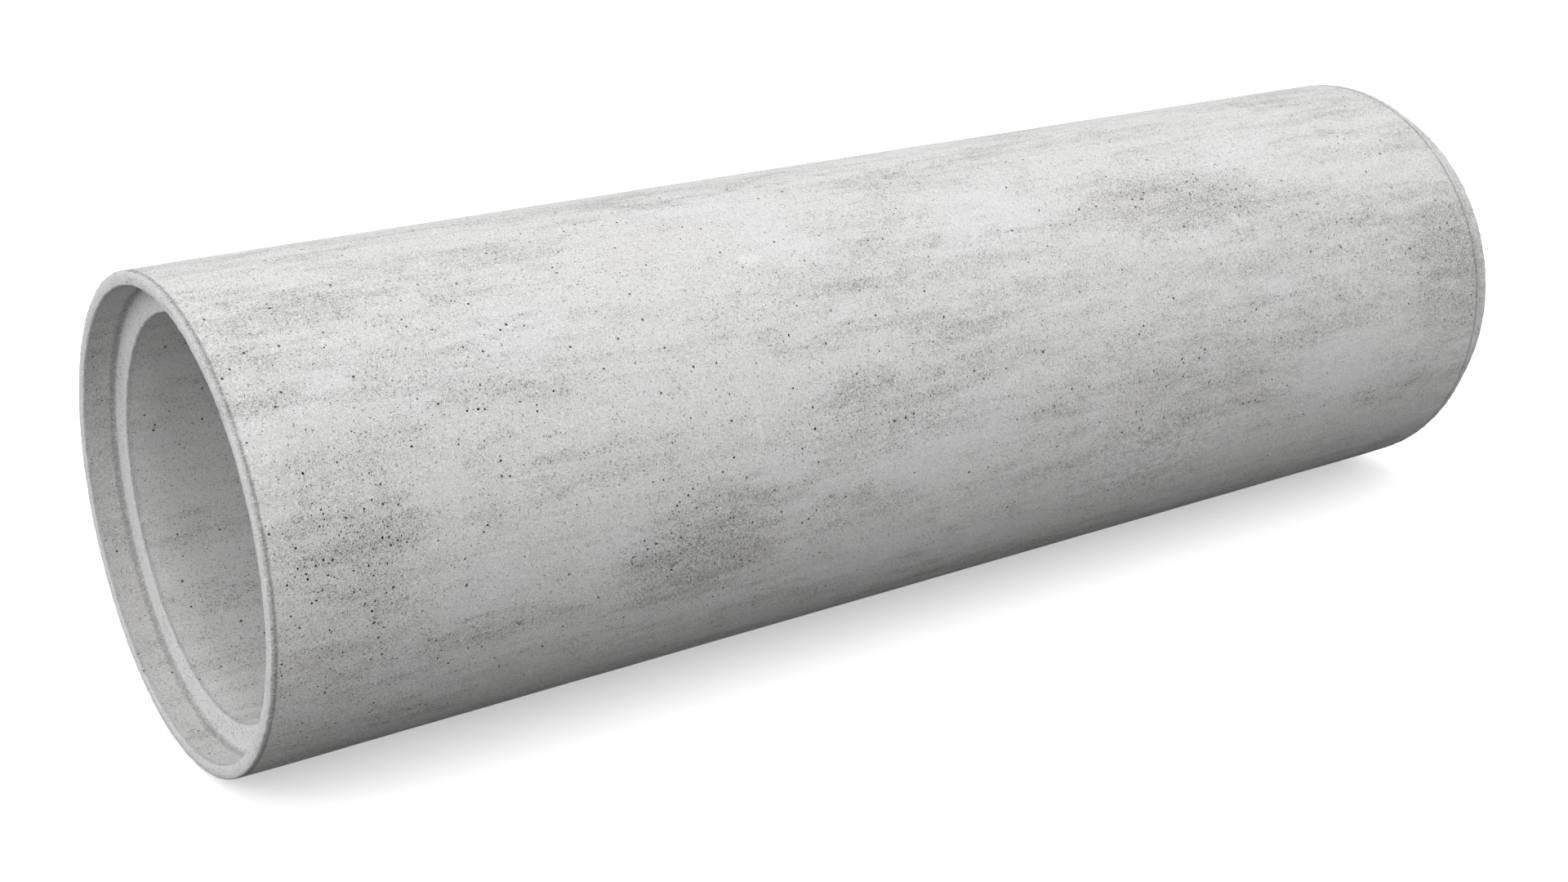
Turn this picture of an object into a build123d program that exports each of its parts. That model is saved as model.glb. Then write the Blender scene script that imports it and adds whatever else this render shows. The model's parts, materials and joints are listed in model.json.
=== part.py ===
from build123d import *

import os
from math import cos, radians, sin

# Precast reinforced concrete pipe, nominal bore 600 mm, with a rebated tongue-and-groove joint.
#
# The pipe lies along X and rests on Z = 0. Its socket end faces -X and its spigot end faces +X. The origin is
# below the middle of its overall length, on the line that it rests on. The concrete wall is one casting, with a
# cavity that fits every piece of steel and every spacer cast into it:
#
# - hoops, each a round ring of wire, spaced evenly along the barrel;
# - longitudinal wires inside the hoops, each pressed a little way into them by a resistance weld;
# - spacer wheels, clipped on the hoops, that keep the cage in the middle of the wall while the pipe is cast.
#
# All sizes are in millimetres.

os.makedirs("parts", exist_ok=True)

# The pipe
bore_diameter = 600.0
wall_thickness = 70.0
laying_length = 2400.0  # socket face to spigot shoulder
spigot_length = 48.0
spigot_diameter = 686.0
socket_depth = 50.0
socket_diameter = 692.0
arris_radius = 4.0  # every outer edge of the casting
root_radius = 5.0  # the inner corners of the socket and the spigot

# The reinforcement
wire_sides = 12  # every wire is drawn with this many flats
hoop_wire = 6.0
hoop_count = 24
hoop_joint = 10.0  # degrees from the crown to where each hoop is closed
longitudinal_wire = 6.0
longitudinal_count = 8
longitudinal_offset = 22.5  # degrees from the crown to the first longitudinal
weld_set_down = 1.0  # how far each weld presses the two wires into each other
cage_end_cover = 22.0  # concrete between the ends of the longitudinals and the shoulders
wire_overhang = 8.0  # a longitudinal's end past the middle of the last hoop

# The spacer wheels
skin_over_wheel = 2.0  # concrete left between a wheel's rim and the faces of the wall
wheel_rim = 5.0
wheel_thickness = 7.0
wheel_hub_diameter = 15.0
wheel_spoke = 3.2
wheel_spoke_count = 6
wheel_slot = 4.6  # narrower than the wire, so the wheel snaps on
wheel_hoops = (2, 12, 23)  # the hoops that carry wheels
wheels_per_hoop = 4

# Sizes that follow from those
bore_radius = bore_diameter / 2
outer_radius = bore_radius + wall_thickness
socket_radius = socket_diameter / 2
spigot_radius = spigot_diameter / 2
axis_height = outer_radius

socket_face = -(laying_length + spigot_length) / 2
socket_shoulder = socket_face + socket_depth
spigot_shoulder = socket_face + laying_length
spigot_face = spigot_shoulder + spigot_length

hoop_radius = bore_radius + wall_thickness / 2
longitudinal_radius = hoop_radius - (hoop_wire + longitudinal_wire) / 2 + weld_set_down
longitudinal_start = socket_shoulder + cage_end_cover
longitudinal_length = spigot_shoulder - cage_end_cover - longitudinal_start
first_hoop = longitudinal_start + wire_overhang
hoop_pitch = (longitudinal_length - 2 * wire_overhang) / (hoop_count - 1)
hoop_numbers = range(1, hoop_count + 1)
wheel_radius = wall_thickness / 2 - skin_over_wheel

pipe_axis = Axis((0, 0, axis_height), (1, 0, 0))


def outward(degrees):
    """The direction away from the pipe's axis, so many degrees from the crown."""
    return Vector(0, -sin(radians(degrees)), cos(radians(degrees)))


def along_hoop(degrees):
    """The direction in which a hoop runs, so many degrees from the crown."""
    return Vector(0, -cos(radians(degrees)), -sin(radians(degrees)))


def around(x, radius, degrees):
    """The point at this radius from the pipe's axis, so many degrees from the crown."""
    return Vector(x, 0, axis_height) + outward(degrees) * radius


def is_at(vertex, x, radius):
    """Whether a corner of the casting's section lies at this x and this radius."""
    return abs(vertex.X - x) < 0.1 and abs(vertex.Y - axis_height - radius) < 0.1


def hoop_x(number):
    """Where hoop 1, 2 and so on lies along the pipe."""
    return first_hoop + (number - 1) * hoop_pitch


def wire_section(wire):
    """The section of a wire, with one of its flats square to the pipe's radius."""
    RegularPolygon(wire / 2, wire_sides, rotation=180 / wire_sides)


def whole_hoop(x):
    """A plain ring of wire, before the welds mark it."""
    across = Plane(around(x, hoop_radius, hoop_joint), x_dir=(1, 0, 0), z_dir=along_hoop(hoop_joint))
    with BuildPart() as ring:
        with BuildSketch(across):
            wire_section(hoop_wire)
        revolve(axis=pipe_axis)
    return ring.part


def longitudinal(degrees):
    """A straight wire along the barrel."""
    start = Plane(
        around(longitudinal_start, longitudinal_radius, degrees),
        x_dir=-outward(degrees),
        z_dir=(1, 0, 0),
    )
    with BuildPart() as wire:
        with BuildSketch(start):
            wire_section(longitudinal_wire)
        extrude(amount=longitudinal_length)
    return wire.part


def whole_wheel(x, degrees):
    """A spacer wheel square to its hoop, before the wire takes its place in the hub."""
    square_to_hoop = Plane(around(x, hoop_radius, degrees), x_dir=(1, 0, 0), z_dir=along_hoop(degrees))
    with BuildPart() as wheel:
        with BuildSketch(square_to_hoop):
            Circle(wheel_radius)
            Circle(wheel_radius - wheel_rim, mode=Mode.SUBTRACT)
            with PolarLocations(wheel_radius / 2, wheel_spoke_count, start_angle=180 / wheel_spoke_count):
                Rectangle(wheel_radius - wheel_rim, wheel_spoke)
            Circle(wheel_hub_diameter / 2)
            with Locations((wheel_radius / 2, 0)):
                Rectangle(wheel_radius + wheel_rim, wheel_slot, mode=Mode.SUBTRACT)
        extrude(amount=wheel_thickness / 2, both=True)
    return wheel.part


def whole_hoops():
    """Every hoop of the cage, as plain rings."""
    return [whole_hoop(hoop_x(number)) for number in hoop_numbers]


def longitudinals():
    """Every longitudinal wire of the cage."""
    return [
        longitudinal(longitudinal_offset + i * 360 / longitudinal_count) for i in range(longitudinal_count)
    ]


def save(part, name):
    part.label = name
    export_step(part, f"parts/{name}.step")


# Where each spacer wheel sits: the number of its hoop, and its degrees from the crown
wheel_places = [(number, i * 360 / wheels_per_hoop) for number in wheel_hoops for i in range(wheels_per_hoop)]

# The casting: its section turned about the pipe's axis, less everything cast into it
with BuildPart() as pipe_wall:
    with BuildSketch(Plane.XZ) as section:
        with BuildLine():
            Polyline(
                (socket_face, axis_height + socket_radius),
                (socket_face, axis_height + outer_radius),
                (spigot_shoulder, axis_height + outer_radius),
                (spigot_shoulder, axis_height + spigot_radius),
                (spigot_face, axis_height + spigot_radius),
                (spigot_face, axis_height + bore_radius),
                (socket_shoulder, axis_height + bore_radius),
                (socket_shoulder, axis_height + socket_radius),
                close=True,
            )
        make_face()
        roots = [
            vertex
            for vertex in section.vertices()
            if is_at(vertex, socket_shoulder, socket_radius) or is_at(vertex, spigot_shoulder, spigot_radius)
        ]
        arrises = [vertex for vertex in section.vertices() if vertex not in roots]
        fillet(roots, root_radius)
        fillet(arrises, arris_radius)
    revolve(axis=pipe_axis)
    add(whole_hoops(), mode=Mode.SUBTRACT)
    add(longitudinals(), mode=Mode.SUBTRACT)
    add([whole_wheel(hoop_x(number), degrees) for number, degrees in wheel_places], mode=Mode.SUBTRACT)
save(pipe_wall.part, "pipe_wall")

for number in hoop_numbers:
    with BuildPart() as hoop:
        add(whole_hoop(hoop_x(number)))
        add(longitudinals(), mode=Mode.SUBTRACT)
    save(hoop.part, f"hoop_{number:02d}")

for number, wire in enumerate(longitudinals(), 1):
    save(wire, f"longitudinal_wire_{number:02d}")

for count, (number, degrees) in enumerate(wheel_places, 1):
    with BuildPart() as spacer_wheel:
        add(whole_wheel(hoop_x(number), degrees))
        add(whole_hoop(hoop_x(number)), mode=Mode.SUBTRACT)
    save(spacer_wheel.part, f"spacer_wheel_{count:02d}")
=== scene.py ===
import json
import math
import random

import bmesh
import bpy
from mathutils import Matrix, Vector
from mathutils.kdtree import KDTree


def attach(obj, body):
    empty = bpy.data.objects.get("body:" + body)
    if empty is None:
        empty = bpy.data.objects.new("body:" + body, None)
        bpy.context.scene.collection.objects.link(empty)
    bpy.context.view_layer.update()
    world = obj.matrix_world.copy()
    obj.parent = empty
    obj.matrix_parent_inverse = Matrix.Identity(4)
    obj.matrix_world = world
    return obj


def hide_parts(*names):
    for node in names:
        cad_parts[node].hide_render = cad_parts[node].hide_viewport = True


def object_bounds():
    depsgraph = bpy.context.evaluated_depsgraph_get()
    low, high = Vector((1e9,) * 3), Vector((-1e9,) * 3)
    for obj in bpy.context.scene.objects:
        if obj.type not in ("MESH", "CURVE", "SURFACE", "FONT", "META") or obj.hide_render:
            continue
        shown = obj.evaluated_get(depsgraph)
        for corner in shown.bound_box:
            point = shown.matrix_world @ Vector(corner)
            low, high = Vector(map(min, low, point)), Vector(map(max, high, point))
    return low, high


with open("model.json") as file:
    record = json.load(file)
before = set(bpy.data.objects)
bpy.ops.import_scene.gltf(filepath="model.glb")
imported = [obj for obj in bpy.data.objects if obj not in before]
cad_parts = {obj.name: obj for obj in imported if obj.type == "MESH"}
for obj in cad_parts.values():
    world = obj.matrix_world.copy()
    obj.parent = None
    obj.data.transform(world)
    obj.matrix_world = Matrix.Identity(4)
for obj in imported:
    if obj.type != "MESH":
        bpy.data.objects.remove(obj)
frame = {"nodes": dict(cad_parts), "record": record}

# A precast concrete pipe lying on a pale floor: its socket faces -X and its spigot faces +X.
# The casting is one piece that stands for the CAD node pipe_wall. The cage and its spacer wheels are sealed
# inside it, and stay as the CAD made them, with materials of their own. All sizes are in metres.

cad_low, cad_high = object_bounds()
mounts = {mount["name"]: mount for mount in frame["record"]["mounts"]}


def mount_size(name, key):
    """A mount's radius or length."""
    return mounts[name]["dims"][key] / 1000


# The casting's sizes, all from the frame but for the roundings of its corners
arris = 0.004
root = 0.005
outer_radius = (cad_high.z - cad_low.z) / 2
bore_radius = mount_size("flow_bore", "r_mm")
socket_radius = mount_size("socket", "r_mm")
spigot_radius = mount_size("spigot", "r_mm")
socket_depth = mount_size("socket", "length_mm") + root
spigot_length = mount_size("spigot", "length_mm") + root
socket_face = cad_low.x
socket_shoulder = socket_face + socket_depth
spigot_face = cad_high.x
spigot_shoulder = spigot_face - spigot_length
axis_height = outer_radius
barrel_length = spigot_shoulder - socket_face

# Its corners, each the x and the radius of a ring where two faces meet: arrises stand out, and roots lie in
arris_rings = [
    (socket_face, outer_radius),
    (socket_face, socket_radius),
    (socket_shoulder, bore_radius),
    (spigot_shoulder, outer_radius),
    (spigot_face, spigot_radius),
    (spigot_face, bore_radius),
]
root_rings = [(socket_shoulder, socket_radius), (spigot_shoulder, spigot_radius)]


def around(x, radius, degrees):
    """The point at this radius from the pipe's axis, so many degrees from the crown towards the front."""
    turn = math.radians(degrees)
    return Vector((x, -radius * math.sin(turn), axis_height + radius * math.cos(turn)))


# ---------------------------------------------------------------------------------------------------------
# Node graphs
# ---------------------------------------------------------------------------------------------------------


class Graph:
    """Adds nodes to one tree. An input's value is a number, a colour or vector, or another node's output."""

    def __init__(self, tree):
        self.tree = tree

    def add(self, kind, inputs=None, **settings):
        """Adds a node, with its inputs by name or number, and its other settings by name."""
        node = self.tree.nodes.new(kind)
        for name, value in settings.items():
            setattr(node, name, value)
        for key, value in (inputs or {}).items():
            if isinstance(value, bpy.types.NodeSocket):
                self.tree.links.new(value, node.inputs[key])
            else:
                node.inputs[key].default_value = value
        return node

    def math(self, operation, *values):
        """A sum on numbers, such as ADD or MULTIPLY."""
        return self.add("ShaderNodeMath", dict(enumerate(values)), operation=operation).outputs[0]

    def vector(self, operation, *values):
        """A sum on vectors."""
        return self.add("ShaderNodeVectorMath", dict(enumerate(values)), operation=operation).outputs[0]

    def length(self, value):
        return self.add("ShaderNodeVectorMath", {0: value}, operation="LENGTH").outputs["Value"]

    def blend(self, share, colour, over):
        """One colour mixed with another, by a share from 0 to 1."""
        inputs = {0: share, 6: colour, 7: over}
        return self.add("ShaderNodeMix", inputs, data_type="RGBA", clamp_factor=True).outputs[2]

    def step(self, value, start, end, low=0.0, high=1.0):
        """A smooth step: low up to start, and high from end on."""
        inputs = {"Value": value, "From Min": start, "From Max": end, "To Min": low, "To Max": high}
        return self.add("ShaderNodeMapRange", inputs, interpolation_type="SMOOTHSTEP").outputs["Result"]

    def noise(self, place, scale, detail=4.0, roughness=0.55, distortion=0.0):
        """Cloudy noise from 0 to 1, with so many lumps to the metre."""
        inputs = {
            "Vector": place,
            "Scale": scale,
            "Detail": detail,
            "Roughness": roughness,
            "Distortion": distortion,
        }
        return self.add("ShaderNodeTexNoise", inputs).outputs["Fac"]

    def use(self, effect, **inputs):
        """Places a shared effect, and gives its outputs by name."""
        node = self.tree.nodes.new("ShaderNodeGroup")
        node.node_tree = effect
        for key, value in inputs.items():
            socket = node.inputs[key.replace("_", " ")]
            if isinstance(value, bpy.types.NodeSocket):
                self.tree.links.new(value, socket)
            else:
                socket.default_value = value
        return node.outputs


def new_effect(name, inputs, outputs):
    """A node group with named inputs, each with its usual value, and outputs that are masks or heights."""
    tree = bpy.data.node_groups.new(name, "ShaderNodeTree")
    for label, value in inputs.items():
        kind = "NodeSocketVector" if value is None or isinstance(value, tuple) else "NodeSocketFloat"
        socket = tree.interface.new_socket(name=label, in_out="INPUT", socket_type=kind)
        if value is not None:
            socket.default_value = value
    for label in outputs:
        tree.interface.new_socket(name=label, in_out="OUTPUT", socket_type="NodeSocketFloat")
    given = tree.nodes.new("NodeGroupInput").outputs
    result = tree.nodes.new("NodeGroupOutput").inputs
    return tree, Graph(tree), given, result


def make_drawn_cloud():
    """Cloudy bands drawn out along the pipe, as water and slurry leave them on a steel form."""
    inputs = {"Place": None, "Scale": 8.0, "Drawn": 6.0, "Detail": 5.0, "Roughness": 0.55, "Wander": 0.4}
    tree, graph, given, result = new_effect("Drawn cloud", inputs, ["Cloud"])
    parts = graph.add("ShaderNodeSeparateXYZ", {0: given["Place"]}).outputs
    along = graph.math("DIVIDE", parts[0], given["Drawn"])
    place = graph.add("ShaderNodeCombineXYZ", {0: along, 1: parts[1], 2: parts[2]}).outputs[0]
    cloud = graph.noise(place, given["Scale"], given["Detail"], given["Roughness"], given["Wander"])
    graph.tree.links.new(cloud, result["Cloud"])
    return tree


def make_sand():
    """Grains of sand in the skin: which are dark, which are bright, and how far each stands out."""
    inputs = {"Place": None, "Grain": 0.0018, "Amount": 0.5}
    tree, graph, given, result = new_effect("Sand", inputs, ["Dark", "Bright", "Height"])
    scale = graph.math("DIVIDE", 1.0, given["Grain"])
    cells = graph.add("ShaderNodeTexVoronoi", {"Vector": given["Place"], "Scale": scale}).outputs
    chance = graph.add("ShaderNodeSeparateColor", {0: cells["Color"]}).outputs
    start = graph.math("MULTIPLY_ADD", given["Amount"], -0.50, 1.0)
    depth = graph.math("MULTIPLY_ADD", chance[1], 0.7, 0.3)
    dark = graph.math("MULTIPLY", graph.step(chance[0], start, 1.0), depth)
    graph.tree.links.new(dark, result["Dark"])
    graph.tree.links.new(graph.step(chance[2], 0.45, 0.0), result["Bright"])
    graph.tree.links.new(graph.math("MULTIPLY_ADD", cells["Distance"], -0.7, chance[2]), result["Height"])
    return tree


def make_blow_holes():
    """Round holes that air bubbles leave against the form. Crowding is the share of places that have one."""
    inputs = {"Place": None, "Spacing": 0.012, "Radius": 0.0015, "Crowding": 0.5}
    tree, graph, given, result = new_effect("Blow holes", inputs, ["Hole"])
    scale = graph.math("DIVIDE", 1.0, given["Spacing"])
    cells = graph.add("ShaderNodeTexVoronoi", {"Vector": given["Place"], "Scale": scale}).outputs
    chance = graph.add("ShaderNodeSeparateColor", {0: cells["Color"]}).outputs
    reach = graph.math("MULTIPLY", given["Radius"], scale)
    reach = graph.math("MULTIPLY", reach, graph.math("MULTIPLY_ADD", chance[1], 0.8, 0.4))
    inside = graph.step(cells["Distance"], graph.math("MULTIPLY", reach, 0.7), reach, 1.0, 0.0)
    there = graph.math("LESS_THAN", chance[0], given["Crowding"])
    graph.tree.links.new(graph.math("MULTIPLY", inside, there), result["Hole"])
    return tree


def make_blot():
    """A soft-edged patch about one point, with a reach of its own along each axis."""
    inputs = {"Place": None, "Middle": (0.0, 0.0, 0.0), "Reach": (0.1, 0.1, 0.1)}
    tree, graph, given, result = new_effect("Blot", inputs, ["Mask"])
    away = graph.vector("DIVIDE", graph.vector("SUBTRACT", given["Place"], given["Middle"]), given["Reach"])
    graph.tree.links.new(graph.step(graph.length(away), 0.25, 1.0, 1.0, 0.0), result["Mask"])
    return tree


def make_near_ring():
    """How near a point is to a ring about the pipe's axis: 1 on the ring and 0 beyond its reach."""
    inputs = {"Place": None, "Along": 0.0, "Radius": 0.37, "Reach": 0.01}
    tree, graph, given, result = new_effect("Near ring", inputs, ["Mask"])
    parts = graph.add("ShaderNodeSeparateXYZ", {0: given["Place"]}).outputs
    up = graph.math("SUBTRACT", parts[2], axis_height)
    radius = graph.length(graph.add("ShaderNodeCombineXYZ", {1: parts[1], 2: up}).outputs[0])
    aside = graph.math("SUBTRACT", parts[0], given["Along"])
    outward = graph.math("SUBTRACT", radius, given["Radius"])
    distance = graph.length(graph.add("ShaderNodeCombineXYZ", {0: aside, 1: outward}).outputs[0])
    near = graph.math("DIVIDE", distance, given["Reach"])
    graph.tree.links.new(graph.step(near, 0.2, 1.0, 1.0, 0.0), result["Mask"])
    return tree


drawn_cloud = make_drawn_cloud()
sand = make_sand()
blow_holes = make_blow_holes()
blot = make_blot()
near_ring = make_near_ring()


def new_material(name):
    """A material with its graph, its surface shader and its Object coordinates."""
    material = bpy.data.materials.new(name)
    material.use_nodes = True
    graph = Graph(material.node_tree)
    shader = material.node_tree.nodes["Principled BSDF"]
    coordinates = graph.add("ShaderNodeTexCoord").outputs
    return material, graph, shader, coordinates


# ---------------------------------------------------------------------------------------------------------
# Finishes
# ---------------------------------------------------------------------------------------------------------

# Where the concrete is more porous: x, degrees from the crown, reach along the pipe, reach round it
porous_places = [
    (-1.10, 84, 0.16, 0.20),
    (-0.56, 98, 0.18, 0.15),
    (-0.22, 78, 0.26, 0.10),
    (0.50, 36, 0.30, 0.12),
    (1.10, 70, 0.16, 0.18),
]

# Where the skin is closed and smooth, and where it is rough, in the same terms
smooth_places = [(-0.10, 88, 0.22, 0.14), (-0.25, 118, 0.16, 0.07), (0.80, 96, 0.16, 0.10)]
rough_places = [(0.37, 109, 0.30, 0.14)]

# Small marks: x, degrees from the crown, reach along the pipe, reach round it
pale_marks = [(-0.445, 74, 0.007, 0.045), (-0.366, 34, 0.026, 0.020)]
hairlines = [(-0.645, 101, 0.060, 0.0030), (-0.600, 103, 0.006, 0.0060)]

# Dark rings: dust with painted shade in both roots, and a thin line of painted shade a little behind the
# outer arris near each end of the barrel, each with a shallow dip in the relief.
# Each has its x, its radius, its reach, and how dark it is.
dust_and_shade_rings = [
    (socket_shoulder - 0.003, socket_radius, 0.009, 0.60),
    (spigot_shoulder, spigot_radius, 0.012, 0.60),
    (socket_face + 0.008, outer_radius, 0.0045, 0.80),
    (spigot_shoulder - 0.015, outer_radius, 0.0050, 0.70),
]

# The colours of the concrete
closed_skin = (0.605, 0.603, 0.598, 1.0)
open_skin = (0.47, 0.466, 0.456, 1.0)
beige_stain = (0.57, 0.535, 0.475, 1.0)
cement_film = (0.62, 0.625, 0.645, 1.0)
# the rough ground's painted light on its lumps and painted shade between them
rough_painted_light = (0.72, 0.72, 0.72, 1.0)
rough_painted_shade = (0.36, 0.35, 0.335, 1.0)
bore_skin = (0.92, 0.92, 0.92, 1.0)
end_skin = (0.80, 0.80, 0.805, 1.0)
end_shade = (0.46, 0.46, 0.46, 1.0)
scuff = (0.80, 0.80, 0.80, 1.0)
crack_shade = (0.16, 0.155, 0.15, 1.0)
dark_grain = (0.10, 0.098, 0.093, 1.0)
bright_grain = (0.92, 0.92, 0.91, 1.0)
hole_shade = (0.05, 0.049, 0.046, 1.0)
rubbed_arris = (0.78, 0.78, 0.78, 1.0)
# the dark of dust and of painted shade, in the roots and behind the outer arrises
settled_dust_and_shade = (0.22, 0.215, 0.205, 1.0)

# The colours of the wire and the spacer wheels
dull_steel = (0.30, 0.30, 0.31, 1.0)
bright_steel = (0.46, 0.46, 0.47, 1.0)
rust = (0.23, 0.11, 0.06, 1.0)
dark_plastic = (0.045, 0.047, 0.052, 1.0)
worn_plastic = (0.075, 0.078, 0.085, 1.0)
cement_dust = (0.42, 0.41, 0.39, 1.0)


def any_of(graph, place, places):
    """A mask of the soft patches in a list of places on the outside of the pipe."""
    mask = 0.0
    for x, degrees, along, about in places:
        middle = tuple(around(x, outer_radius, degrees))
        patch = graph.use(blot, Place=place, Middle=middle, Reach=(along, about, about))["Mask"]
        mask = graph.math("MAXIMUM", mask, patch)
    return mask


def near_any(graph, place, rings):
    """A mask of the places near some rings, each with its x, its radius, its reach and its strength."""
    mask = 0.0
    for along, radius, reach, strength in rings:
        near = graph.use(near_ring, Place=place, Along=along, Radius=radius, Reach=reach)["Mask"]
        mask = graph.math("MAXIMUM", mask, graph.math("MULTIPLY", near, strength))
    return mask


def cast_concrete():
    """Cast concrete, clouded and sandy, with blow holes darkened by painted shade, pale rubbed arrises,
    rough lumps with painted light and shade, and dust with painted shade in the roots.
    """
    material, graph, shader, coordinates = new_material("cast concrete")
    place = coordinates["Object"]
    facing = graph.add("ShaderNodeSeparateXYZ", {0: coordinates["Normal"]}).outputs
    end_face = graph.step(graph.math("ABSOLUTE", facing[0]), 0.55, 0.85)

    def cloud(scale, drawn, offset, detail=5.0, roughness=0.55, wander=0.4):
        """Drawn-out bands, each set starting from its own offset so that no two are alike."""
        shifted = graph.vector("ADD", place, (offset, offset, offset))
        look = {"Scale": scale, "Drawn": drawn, "Detail": detail, "Roughness": roughness, "Wander": wander}
        return graph.use(drawn_cloud, Place=shifted, **look)["Cloud"]

    broad = cloud(5.0, 3.5, 1.3, detail=6.0, roughness=0.6)
    bands = cloud(16.0, 7.0, 4.1, detail=6.0, roughness=0.62)
    lines = cloud(55.0, 9.0, 7.7, detail=4.0, roughness=0.6)
    mottle = cloud(30.0, 1.6, 2.9, detail=7.0, roughness=0.68)

    porous = any_of(graph, place, porous_places)
    smooth = any_of(graph, place, smooth_places)
    rough = any_of(graph, place, rough_places)

    # How dark and open the skin is, from 0 to 1
    tone = graph.math("MULTIPLY_ADD", broad, 0.70, graph.math("MULTIPLY", bands, 0.7))
    tone = graph.math("MULTIPLY_ADD", lines, 0.55, tone)
    tone = graph.math("MULTIPLY_ADD", mottle, 0.6, tone)
    tone = graph.math("MULTIPLY_ADD", porous, 0.16, tone)
    tone = graph.math("MULTIPLY_ADD", smooth, -0.14, tone)
    openness = graph.step(tone, 1.10, 1.60)

    laitance = graph.step(cloud(7.0, 2.6, 11.0, detail=5.0, roughness=0.5, wander=0.8), 0.53, 0.66)
    laitance = graph.math("MAXIMUM", laitance, graph.math("MULTIPLY", smooth, 0.8))
    laitance = graph.math("MULTIPLY", laitance, graph.math("SUBTRACT", 1.0, openness))
    beige = graph.step(cloud(6.0, 2.0, 17.0), 0.50, 0.68)

    colour = graph.blend(openness, closed_skin, open_skin)
    colour = graph.blend(graph.math("MULTIPLY", beige, 0.24), colour, beige_stain)
    colour = graph.blend(graph.math("MULTIPLY", laitance, 0.5), colour, cement_film)

    # Rough ground, in small lumps, with painted light on the lumps' tops and painted shade between them,
    # over the same lumps as the relief
    lumps = graph.noise(place, 95.0, 4.0, 0.6)
    light = graph.math("MULTIPLY", rough, graph.step(lumps, 0.50, 0.62))
    shade = graph.math("MULTIPLY", rough, graph.step(lumps, 0.48, 0.36))
    colour = graph.blend(graph.math("MULTIPLY", light, 0.50), colour, rough_painted_light)
    colour = graph.blend(graph.math("MULTIPLY", shade, 0.42), colour, rough_painted_shade)

    # The bore and both end faces are paler than the outside
    parts = graph.add("ShaderNodeSeparateXYZ", {0: place}).outputs
    up = graph.math("SUBTRACT", parts[2], axis_height)
    radius = graph.length(graph.add("ShaderNodeCombineXYZ", {1: parts[1], 2: up}).outputs[0])
    bore = graph.step(radius, bore_radius + 0.006, bore_radius + 0.003, 0.0, 1.0)
    colour = graph.blend(graph.math("MULTIPLY", bore, 0.28), colour, bore_skin)
    colour = graph.blend(graph.math("MULTIPLY", end_face, 0.90), colour, end_skin)

    # Scuffs and a hairline crack, each made ragged by the same drift of the place
    drift = graph.add("ShaderNodeTexNoise", {"Vector": place, "Scale": 60.0, "Detail": 3.0}).outputs["Color"]
    drift = graph.vector("SUBTRACT", drift, (0.5, 0.5, 0.5))
    wandering = graph.vector("ADD", place, graph.vector("MULTIPLY", drift, (0.02, 0.02, 0.02)))
    pale = graph.math("MULTIPLY", any_of(graph, wandering, pale_marks), 0.40)
    colour = graph.blend(pale, colour, scuff)
    crack = graph.math("MULTIPLY", any_of(graph, wandering, hairlines), 0.8)
    colour = graph.blend(crack, colour, crack_shade)

    # Sand under the skin
    amount = graph.math("MULTIPLY_ADD", graph.math("MULTIPLY", openness, openness), 1.0, 0.22)
    amount = graph.math("MULTIPLY_ADD", laitance, -0.15, amount)
    amount = graph.math("MULTIPLY_ADD", porous, 0.30, amount)
    fine = graph.use(sand, Place=place, Grain=0.0012, Amount=amount)
    coarse = graph.use(sand, Place=place, Grain=0.0028, Amount=graph.math("MULTIPLY", amount, 0.5))
    dark = graph.math("MULTIPLY_ADD", coarse["Dark"], 0.60, fine["Dark"])
    colour = graph.blend(dark, colour, dark_grain)
    bright = graph.math("MULTIPLY_ADD", coarse["Bright"], 0.10, graph.math("MULTIPLY", fine["Bright"], 0.60))
    colour = graph.blend(bright, colour, bright_grain)

    # Blow holes, painted dark as the shade inside them, both the shader's holes and the holes cut in the
    # mesh
    crowding = graph.math("MULTIPLY_ADD", openness, 0.90, 0.22)
    crowding = graph.math("MULTIPLY_ADD", laitance, -0.15, crowding)
    crowding = graph.math("MULTIPLY_ADD", porous, 0.50, crowding)
    small = graph.use(blow_holes, Place=place, Spacing=0.0070, Radius=0.0012, Crowding=crowding)["Hole"]
    rare = graph.math("MULTIPLY", crowding, 0.45)
    large = graph.use(blow_holes, Place=place, Spacing=0.013, Radius=0.0021, Crowding=rare)["Hole"]
    holes = graph.math("MAXIMUM", graph.math("MULTIPLY", small, 0.75), large)
    hollow_shade = graph.add("ShaderNodeAttribute", attribute_name="hollow_shade").outputs["Fac"]
    dark = graph.math("MAXIMUM", graph.math("MULTIPLY", holes, 0.9), hollow_shade)
    colour = graph.blend(dark, colour, hole_shade)

    # Corners: pale where arrises are rubbed, brushed on the end faces, and dark with dust and painted shade
    # in the roots, with a thin line of painted shade behind the outer arrises
    rubbed = near_any(graph, place, [(along, radius, 0.012, 1.0) for along, radius in arris_rings])
    fibres = graph.noise(place, 260.0, 4.0, 0.7)
    rubbed = graph.math("MULTIPLY", rubbed, graph.step(fibres, 0.30, 0.60))
    colour = graph.blend(graph.math("MULTIPLY", rubbed, 0.55), colour, rubbed_arris)
    struck = graph.math("MULTIPLY", end_face, graph.step(fibres, 0.52, 0.40))
    colour = graph.blend(graph.math("MULTIPLY", struck, 0.22), colour, end_shade)
    dust_and_shade = graph.math("MULTIPLY", near_any(graph, place, dust_and_shade_rings), graph.step(fibres, 0.72, 0.38))
    colour = graph.blend(dust_and_shade, colour, settled_dust_and_shade)

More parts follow.
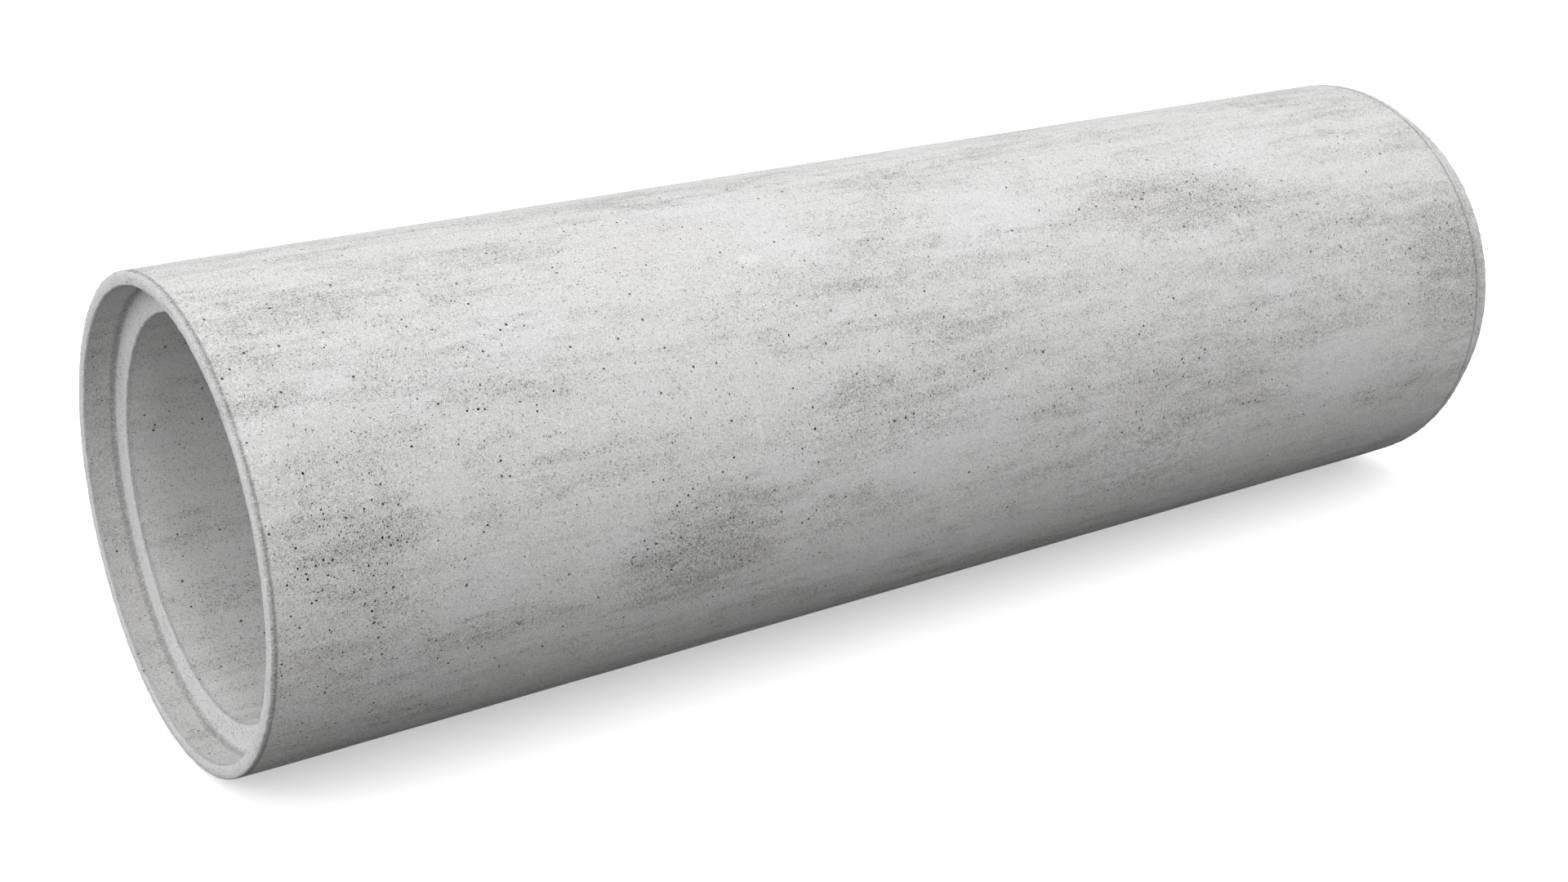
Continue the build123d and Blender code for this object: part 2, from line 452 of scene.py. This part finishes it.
    # Relief, in metres
    relief = graph.math("MULTIPLY", fine["Height"], 0.00012)
    relief = graph.math("MULTIPLY_ADD", coarse["Height"], 0.00015, relief)
    relief = graph.math("MULTIPLY_ADD", mottle, 0.0012, relief)
    relief = graph.math("MULTIPLY_ADD", lines, 0.0008, relief)
    relief = graph.math("MULTIPLY_ADD", graph.math("MULTIPLY", rough, lumps), 0.0028, relief)
    relief = graph.math("MULTIPLY_ADD", holes, -0.0012, relief)
    edges = graph.math("MAXIMUM", rubbed, graph.math("MULTIPLY", end_face, 0.8))
    relief = graph.math("MULTIPLY_ADD", graph.math("MULTIPLY", edges, fibres), 0.0022, relief)
    relief = graph.math("MULTIPLY_ADD", graph.math("MAXIMUM", crack, dust_and_shade), -0.0008, relief)
    bump = graph.add("ShaderNodeBump", {"Height": relief, "Distance": 1.0, "Strength": 1.0})

    roughness = graph.math("MULTIPLY_ADD", laitance, -0.18, 0.90)
    graph.tree.links.new(colour, shader.inputs["Base Color"])
    graph.tree.links.new(roughness, shader.inputs["Roughness"])
    graph.tree.links.new(bump.outputs["Normal"], shader.inputs["Normal"])
    shader.inputs["Specular IOR Level"].default_value = 0.25
    return material


def drawn_wire():
    """Cold-drawn wire: bright steel with a thin, uneven bloom of rust."""
    material, graph, shader, coordinates = new_material("drawn wire")
    place = coordinates["Object"]
    bloom = graph.step(graph.noise(place, 60.0, 6.0, 0.65), 0.46, 0.62)
    scratch = graph.noise(place, 900.0, 3.0, 0.6)
    steel = graph.blend(scratch, dull_steel, bright_steel)
    colour = graph.blend(graph.math("MULTIPLY", bloom, 0.7), steel, rust)
    relief = graph.math("MULTIPLY_ADD", bloom, 0.0001, graph.math("MULTIPLY", scratch, 0.00005))
    bump = graph.add("ShaderNodeBump", {"Height": relief, "Distance": 1.0})
    graph.tree.links.new(colour, shader.inputs["Base Color"])
    graph.tree.links.new(graph.math("MULTIPLY_ADD", bloom, 0.4, 0.38), shader.inputs["Roughness"])
    graph.tree.links.new(graph.step(bloom, 0.0, 1.0, 1.0, 0.15), shader.inputs["Metallic"])
    graph.tree.links.new(bump.outputs["Normal"], shader.inputs["Normal"])
    return material


def moulded_plastic():
    """Recycled polypropylene: dark grey, a little uneven, with cement dust on it."""
    material, graph, shader, coordinates = new_material("moulded plastic")
    place = coordinates["Object"]
    grain = graph.noise(place, 1400.0, 3.0, 0.5)
    dust = graph.step(graph.noise(place, 45.0, 5.0, 0.6), 0.50, 0.70)
    colour = graph.blend(grain, dark_plastic, worn_plastic)
    colour = graph.blend(graph.math("MULTIPLY", dust, 0.6), colour, cement_dust)
    bump = graph.add("ShaderNodeBump", {"Height": graph.math("MULTIPLY", grain, 0.00005), "Distance": 1.0})
    graph.tree.links.new(colour, shader.inputs["Base Color"])
    graph.tree.links.new(graph.math("MULTIPLY_ADD", dust, 0.3, 0.5), shader.inputs["Roughness"])
    graph.tree.links.new(bump.outputs["Normal"], shader.inputs["Normal"])
    return material


# ---------------------------------------------------------------------------------------------------------
# The casting
# ---------------------------------------------------------------------------------------------------------

facets = 480  # round the pipe
long_rows = 38  # rows of faces along the barrel and along the bore
corner_rows = 4  # rows of faces round each arris and root
merge_within = 0.00002  # points this near each other are one
sliver = 0.00001  # edges shorter than this, left where holes are cut, are closed up
smooth_angle = 32  # degrees, past which an edge stays sharp
wave_size = 0.22  # the waves that steel forms leave
wave_depth = 0.0012
wear_size = 0.010  # the bites out of each arris
wear_depth = 0.0030
wear_reach = 0.009


def is_near(value, target):
    """Whether two sizes agree to a fifth of a millimetre."""
    return abs(value - target) < 0.0002


def radius_of(point):
    """A point's distance from the pipe's axis."""
    return math.hypot(point.y, point.z - axis_height)


def choose(casting, kind, test):
    """In edit mode, selects the faces or edges that pass the test, and nothing else."""
    bpy.ops.mesh.select_mode(type=kind)
    bpy.ops.mesh.select_all(action="DESELECT")
    mesh = bmesh.from_edit_mesh(casting.data)
    for element in mesh.faces if kind == "FACE" else mesh.edges:
        if test(element):
            element.select_set(True)
    bmesh.update_edit_mesh(casting.data)


def cap_at(x):
    """A test for the flat many-sided face at this x."""
    return lambda face: len(face.verts) > 4 and is_near(face.calc_center_median().x, x)


def ring_at(x, radius):
    """A test for the edges that run round the pipe at this x and radius."""
    return lambda edge: all(is_near(v.co.x, x) and is_near(radius_of(v.co), radius) for v in edge.verts)


def spans(low, high):
    """A test for the edges that don't run round the pipe and are this long."""

    def test(edge):
        start, end = (vertex.co for vertex in edge.verts)
        across = abs(radius_of(start) - radius_of(end)) + abs(start.x - end.x)
        return low <= across < high

    return test


def push(distance):
    """Extrudes the selected face along the pipe."""
    bpy.ops.mesh.extrude_region_move(TRANSFORM_OT_translate={"value": (distance, 0, 0)})


def shape_pipe():
    """The pipe with its socket, bore and spigot, each corner rounded, in rows of nearly even faces."""
    bpy.ops.object.select_all(action="DESELECT")
    bpy.ops.mesh.primitive_cylinder_add(
        vertices=facets,
        radius=outer_radius,
        depth=barrel_length,
        location=(socket_face + barrel_length / 2, 0, axis_height),
        rotation=(0, math.pi / 2, 0),
    )
    casting = bpy.context.object
    casting.name = "concrete_casting"
    bpy.ops.object.transform_apply(location=True, rotation=True, scale=True)
    bpy.ops.object.mode_set(mode="EDIT")

    choose(casting, "FACE", cap_at(socket_face))
    bpy.ops.mesh.inset(thickness=outer_radius - socket_radius)
    push(socket_depth)
    bpy.ops.mesh.inset(thickness=socket_radius - bore_radius)
    choose(casting, "FACE", cap_at(spigot_shoulder))
    bpy.ops.mesh.inset(thickness=outer_radius - spigot_radius)
    push(spigot_length)
    bpy.ops.mesh.inset(thickness=spigot_radius - bore_radius)

    choose(casting, "FACE", lambda face: len(face.verts) > 4)
    bpy.ops.mesh.delete(type="ONLY_FACE")
    at_shoulder = ring_at(socket_shoulder, bore_radius)
    at_end = ring_at(spigot_face, bore_radius)
    choose(casting, "EDGE", lambda edge: at_shoulder(edge) or at_end(edge))
    bpy.ops.mesh.bridge_edge_loops()

    for rings, rounding in ((arris_rings, arris), (root_rings, root)):
        for x, radius in rings:
            choose(casting, "EDGE", ring_at(x, radius))
            bpy.ops.mesh.bevel(offset=rounding, segments=corner_rows, affect="EDGES")

    # The narrow flats, the wide flats with the socket and the spigot, then the barrel and the bore
    for low, high, rows in ((0.010, 0.034, 3), (0.034, 1.0, 5), (1.0, 9.0, long_rows)):
        choose(casting, "EDGE", spans(low, high))
        bpy.ops.mesh.subdivide(number_cuts=rows - 1)

    bpy.ops.mesh.select_all(action="SELECT")
    bpy.ops.mesh.remove_doubles(threshold=merge_within)
    bpy.ops.mesh.normals_make_consistent(inside=False)
    bpy.ops.object.mode_set(mode="OBJECT")
    return casting


def select_only(piece):
    """Selects a piece and nothing else, and makes it the active one."""
    bpy.ops.object.select_all(action="DESELECT")
    piece.select_set(True)
    bpy.context.view_layer.objects.active = piece


def apply_modifier(piece, modifier):
    """Makes a modifier's result the piece's own mesh."""
    select_only(piece)
    bpy.ops.object.modifier_apply(modifier=modifier.name)


def sink(piece, name, size, depth, group=""):
    """Sinks the surface into the concrete by up to this depth, in a cloudy pattern of this size."""
    texture = bpy.data.textures.new(name, "CLOUDS")
    texture.noise_scale = size
    modifier = piece.modifiers.new(name, "DISPLACE")
    modifier.texture = texture
    modifier.texture_coords = "LOCAL"
    modifier.strength = depth
    modifier.mid_level = 1.0
    modifier.vertex_group = group
    apply_modifier(piece, modifier)


def wear_casting(casting):
    """Gentle waves all over, as steel forms leave them, and ragged arrises."""
    group = casting.vertex_groups.new(name="arrises")
    for vertex in casting.data.vertices:
        radius = radius_of(vertex.co)
        distance = min(math.hypot(vertex.co.x - x, radius - r) for x, r in arris_rings)
        if distance < wear_reach:
            group.add([vertex.index], 1 - distance / wear_reach, "REPLACE")
    sink(casting, "form waves", wave_size, wave_depth)
    sink(casting, "arris wear", wear_size, wear_depth, group.name)


# Where blow holes gather: x, degrees from the crown, spread along the pipe, spread in degrees, holes
hole_clusters = [
    (-1.09, 84, 0.055, 14, 150),
    (-0.98, 106, 0.08, 12, 60),
    (-0.56, 100, 0.06, 11, 50),
    (0.53, 36, 0.11, 8, 30),
    (1.06, 70, 0.07, 13, 24),
    (-0.80, 56, 0.16, 12, 50),
    (0.30, 250, 0.20, 20, 22),
]
scattered_holes = 150  # all over the outside
bore_holes = 110
socket_holes = 24
smallest_hole = 0.0009  # radii
largest_cluster_hole = 0.0023
largest_scattered_hole = 0.0026
largest_bore_hole = 0.0030
largest_socket_hole = 0.0018
hole_gap = 1.6  # how far apart two holes are, as a multiple of their radii together
clear_of_corner = 0.015  # no hole on the outside or in the bore is nearer to a shoulder or an end
hole_sink = 0.25  # how far the middle of a hole lies under the skin, as a share of its radius


def hole_places(casting):
    """Where each blow hole is: its point on the surface, the way out, and its radius."""
    chance = random.Random(11)
    places = []

    def size(largest):
        """A radius, far more often small than large."""
        return smallest_hole + (largest - smallest_hole) * chance.random() ** 3

    def add(place, out, radius):
        point = casting.closest_point_on_mesh(place)[1]
        if all((point - other).length > hole_gap * (radius + taken) for other, _, taken in places):
            places.append((point, out, radius))

    def outside(x, degrees, largest):
        if socket_face + clear_of_corner < x < spigot_shoulder - clear_of_corner:
            point = around(x, outer_radius - wave_depth / 2, degrees)
            add(point, (point - around(x, 0, 0)).normalized(), size(largest))

    def inside(x, radius, degrees, largest):
        point = around(x, radius + wave_depth / 2, degrees)
        add(point, (around(x, 0, 0) - point).normalized(), size(largest))

    for x, degrees, along, about, count in hole_clusters:
        for _ in range(count):
            outside(chance.gauss(x, along), chance.gauss(degrees, about), largest_cluster_hole)
    for _ in range(scattered_holes):
        outside(chance.uniform(socket_face, spigot_shoulder), chance.uniform(0, 360), largest_scattered_hole)
    for _ in range(bore_holes):
        x = chance.uniform(socket_shoulder + clear_of_corner, spigot_face - clear_of_corner)
        inside(x, bore_radius, chance.uniform(0, 360), largest_bore_hole)
    for _ in range(socket_holes):
        x = chance.uniform(socket_face + 0.010, socket_shoulder - 0.012)
        inside(x, socket_radius, chance.uniform(0, 360), largest_socket_hole)
    return places


def cut_blow_holes(casting):
    """Takes a small rough lump from the concrete at each blow hole, and marks how deep in a hole each point
    is, for painted shade in the holes.
    """
    chance = random.Random(23)
    places = hole_places(casting)
    bpy.ops.object.select_all(action="DESELECT")
    bpy.ops.mesh.primitive_ico_sphere_add(subdivisions=2, radius=1.0)
    lump = bpy.context.object
    lumps = []
    for point, out, radius in places:
        copy = lump.copy()
        copy.data = lump.data.copy()
        bpy.context.collection.objects.link(copy)
        stretch = chance.uniform(0.85, 1.35)
        spin = Matrix.Rotation(chance.uniform(0, 3), 4, "Z")
        turn = out.to_track_quat("Z", "Y").to_matrix().to_4x4() @ spin
        scale = Matrix.Diagonal((radius * stretch, radius / stretch, radius * chance.uniform(1.1, 1.7), 1.0))
        for vertex in copy.data.vertices:
            vertex.co *= chance.uniform(0.88, 1.06)
        copy.data.transform(Matrix.Translation(point - out * radius * hole_sink) @ turn @ scale)
        lumps.append(copy)
    bpy.data.objects.remove(lump)
    bpy.ops.object.select_all(action="DESELECT")
    for copy in lumps:
        copy.select_set(True)
    tools = lumps[0]
    bpy.context.view_layer.objects.active = tools
    bpy.ops.object.join()
    modifier = casting.modifiers.new("blow holes", "BOOLEAN")
    modifier.operation = "DIFFERENCE"
    modifier.solver = "MANIFOLD"
    modifier.object = tools
    apply_modifier(casting, modifier)
    bpy.data.objects.remove(tools)

    vertices = casting.data.vertices
    finder = KDTree(len(vertices))
    for vertex in vertices:
        finder.insert(vertex.co, vertex.index)
    finder.balance()
    # how deep in a hole each point lies, which the concrete paints dark as shade
    hollow_shade = casting.data.attributes.new("hollow_shade", "FLOAT", "POINT")
    for point, out, radius in places:
        for place, index, _ in finder.find_range(point, radius * 2.2):
            depth = (point - place).dot(out) / radius
            hollow_shade.data[index].value = max(hollow_shade.data[index].value, min(1.0, 1.6 * depth))


def make_casting():
    """The whole concrete piece, in its finish."""
    casting = shape_pipe()
    wear_casting(casting)
    cut_blow_holes(casting)
    select_only(casting)
    bpy.ops.object.mode_set(mode="EDIT")
    bpy.ops.mesh.select_all(action="SELECT")
    bpy.ops.mesh.remove_doubles(threshold=sliver)
    bpy.ops.mesh.dissolve_degenerate(threshold=sliver)
    bpy.ops.object.mode_set(mode="OBJECT")
    bpy.ops.object.shade_smooth_by_angle(angle=math.radians(smooth_angle))
    casting.data.materials.clear()
    casting.data.materials.append(cast_concrete())
    return casting


casting = make_casting()
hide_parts("pipe_wall")
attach(casting, "root")

wire = drawn_wire()
plastic = moulded_plastic()
for name, node in frame["nodes"].items():
    if name != "pipe_wall":
        node.data.materials.clear()
        node.data.materials.append(plastic if name.startswith("spacer_wheel") else wire)

# ---------------------------------------------------------------------------------------------------------
# Floor, light and camera
# ---------------------------------------------------------------------------------------------------------

floor_as_seen = (0.93, 0.93, 0.93, 1.0)
floor_as_reflector = (0.13, 0.13, 0.13, 1.0)
floor_glow = 0.45  # seen by the camera only
room_brightness = 1.0
backdrop_gain = 0.1  # how much brighter the room is to the camera
camera_place = (-2.186, -2.921, 1.563)
camera_dip = 19.81  # degrees below level
camera_turn = 34.81  # degrees from +Y towards +X
focal_length = 51.33  # in millimetres, for a sensor this wide
sensor_width = 36.0


def pale_floor():
    """A matt white floor that gives back little of the light that falls on it beside the pipe."""
    bpy.ops.object.select_all(action="DESELECT")
    bpy.ops.mesh.primitive_plane_add(size=60)
    floor = bpy.context.object
    floor.name = "studio_floor"
    material, graph, shader, _ = new_material("studio floor")
    seen = graph.add("ShaderNodeLightPath").outputs["Is Camera Ray"]
    colour = graph.blend(seen, floor_as_reflector, floor_as_seen)
    graph.tree.links.new(colour, shader.inputs["Base Color"])
    graph.tree.links.new(graph.math("MULTIPLY", seen, floor_glow), shader.inputs["Emission Strength"])
    shader.inputs["Emission Color"].default_value = (1.0, 1.0, 1.0, 1.0)
    shader.inputs["Roughness"].default_value = 0.95
    shader.inputs["Specular IOR Level"].default_value = 0.0
    floor.data.materials.append(material)


def softbox(name, place, target, width, height, power):
    """A rectangular lamp at a place, turned to its target."""
    light = bpy.data.lights.new(name, "AREA")
    light.shape = "RECTANGLE"
    light.size = width
    light.size_y = height
    light.energy = power
    lamp = bpy.data.objects.new(name, light)
    bpy.context.collection.objects.link(lamp)
    lamp.location = place
    lamp.rotation_euler = (Vector(target) - Vector(place)).to_track_quat("-Z", "Y").to_euler()


def studio_light():
    """A white room, with three weak softboxes in it."""
    softbox("overhead softbox", (0.5, -1.2, 4.2), (0.3, 0, 0.4), width=6.0, height=4.0, power=34)
    softbox("front softbox", (1.2, -4.8, 2.8), (0.5, 0, 0.45), width=4.0, height=3.0, power=30)
    softbox("end softbox", (-4.8, -0.6, 2.2), (-1.0, 0, 0.3), width=3.0, height=2.4, power=46)
    world = bpy.data.worlds.new("white room")
    bpy.context.scene.world = world
    world.use_nodes = True
    graph = Graph(world.node_tree)
    background = world.node_tree.nodes["Background"]
    seen = graph.add("ShaderNodeLightPath").outputs["Is Camera Ray"]
    strength = graph.math("MULTIPLY_ADD", seen, backdrop_gain, room_brightness)
    graph.tree.links.new(strength, background.inputs["Strength"])
    background.inputs["Color"].default_value = (1.0, 1.0, 1.0, 1.0)


def studio_camera():
    """A camera at eye height, off the socket end."""
    lens = bpy.data.cameras.new("camera")
    lens.lens = focal_length
    lens.sensor_width = sensor_width
    lens.clip_end = 200.0
    camera = bpy.data.objects.new("camera", lens)
    bpy.context.collection.objects.link(camera)
    camera.location = camera_place
    camera.rotation_euler = (math.radians(90 - camera_dip), 0, math.radians(-camera_turn))
    bpy.context.scene.camera = camera


pale_floor()
studio_light()
studio_camera()
bpy.context.scene.view_settings.view_transform = "Standard"
